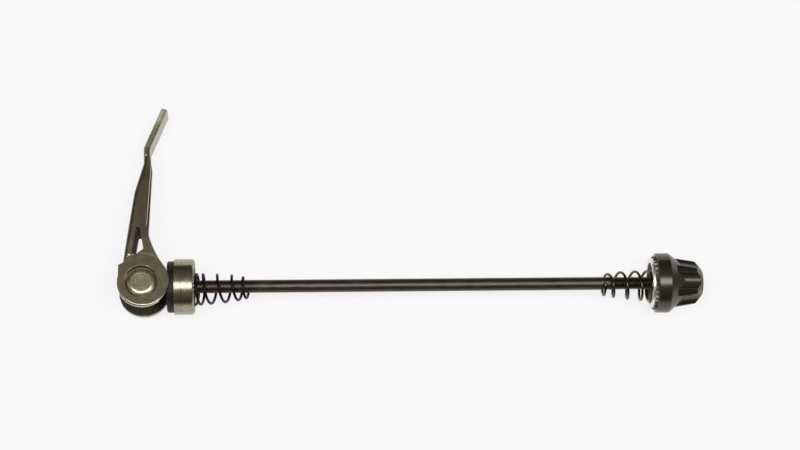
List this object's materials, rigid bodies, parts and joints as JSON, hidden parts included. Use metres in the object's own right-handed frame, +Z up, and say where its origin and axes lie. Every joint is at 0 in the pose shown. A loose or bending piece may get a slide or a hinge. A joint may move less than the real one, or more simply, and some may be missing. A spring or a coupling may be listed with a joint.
{
  "type": "bicycle quick release skewer",
  "caption": "Bicycle quick release skewer lying flat: steel rod, folded cam lever, saddle and clamp cup at one end, sprung screw nut with a fluted grip at the other.",
  "frame": {"origin": "centre of the clamp cup's clamp face, on the rod's axis", "axes": "+X along the rod from the lever to the nut, +Y the way the closed lever points, +Z up from the table"},
  "size_m": [0.2183, 0.0814, 0.0224],
  "materials": {
    "lever_steel": "dull plated, worn",
    "barrel_steel": "turned",
    "rod_steel": "blackened, oily",
    "cup_steel": "plated, scratched",
    "spring_steel": "blackened",
    "saddle_plastic": "matt",
    "knob_plastic": "satin",
    "insert_steel": "bright plated"
  },
  "bodies": {
    "spindle": {"skewer_rod": "rod_steel", "pivot_barrel": "barrel_steel"},
    "lever": {"cam_lever": "lever_steel"},
    "clamp": {"cam_saddle": "saddle_plastic", "clamp_cup": "cup_steel", "lever_spring": "spring_steel"},
    "nut_carriage": {"nut_spring": "spring_steel"},
    "nut": {"nut_insert": "insert_steel", "nut_knob": "knob_plastic"}
  },
  "joints": [
    {"name": "lever_swing", "type": "hinge", "parent": "spindle", "child": "lever", "pos_m": [-0.0195, 0, 0], "axis": [0, 0.0969, 0.9953], "range_deg": [0, 170]},
    {"name": "clamp_slide", "type": "slide", "parent": "spindle", "child": "clamp", "axis": [1, 0, 0], "range_m": [-0.00143, 0]},
    {"name": "nut_travel", "type": "slide", "parent": "spindle", "child": "nut_carriage", "axis": [1, 0, 0], "range_m": [-0.01521, 0.00401]},
    {"name": "nut_turn", "type": "hinge", "parent": "nut_carriage", "child": "nut", "pos_m": [0.1705, 0, 0], "axis": [1, 0, 0], "range_deg": [-6840, 1800]}
  ],
  "couplings": [
    {"joint": "clamp_slide", "follows": "lever_swing", "m_per_rad": -0.00047746},
    {"joint": "nut_travel", "follows": "nut_turn", "m_per_rad": 0.00012732}
  ]
}
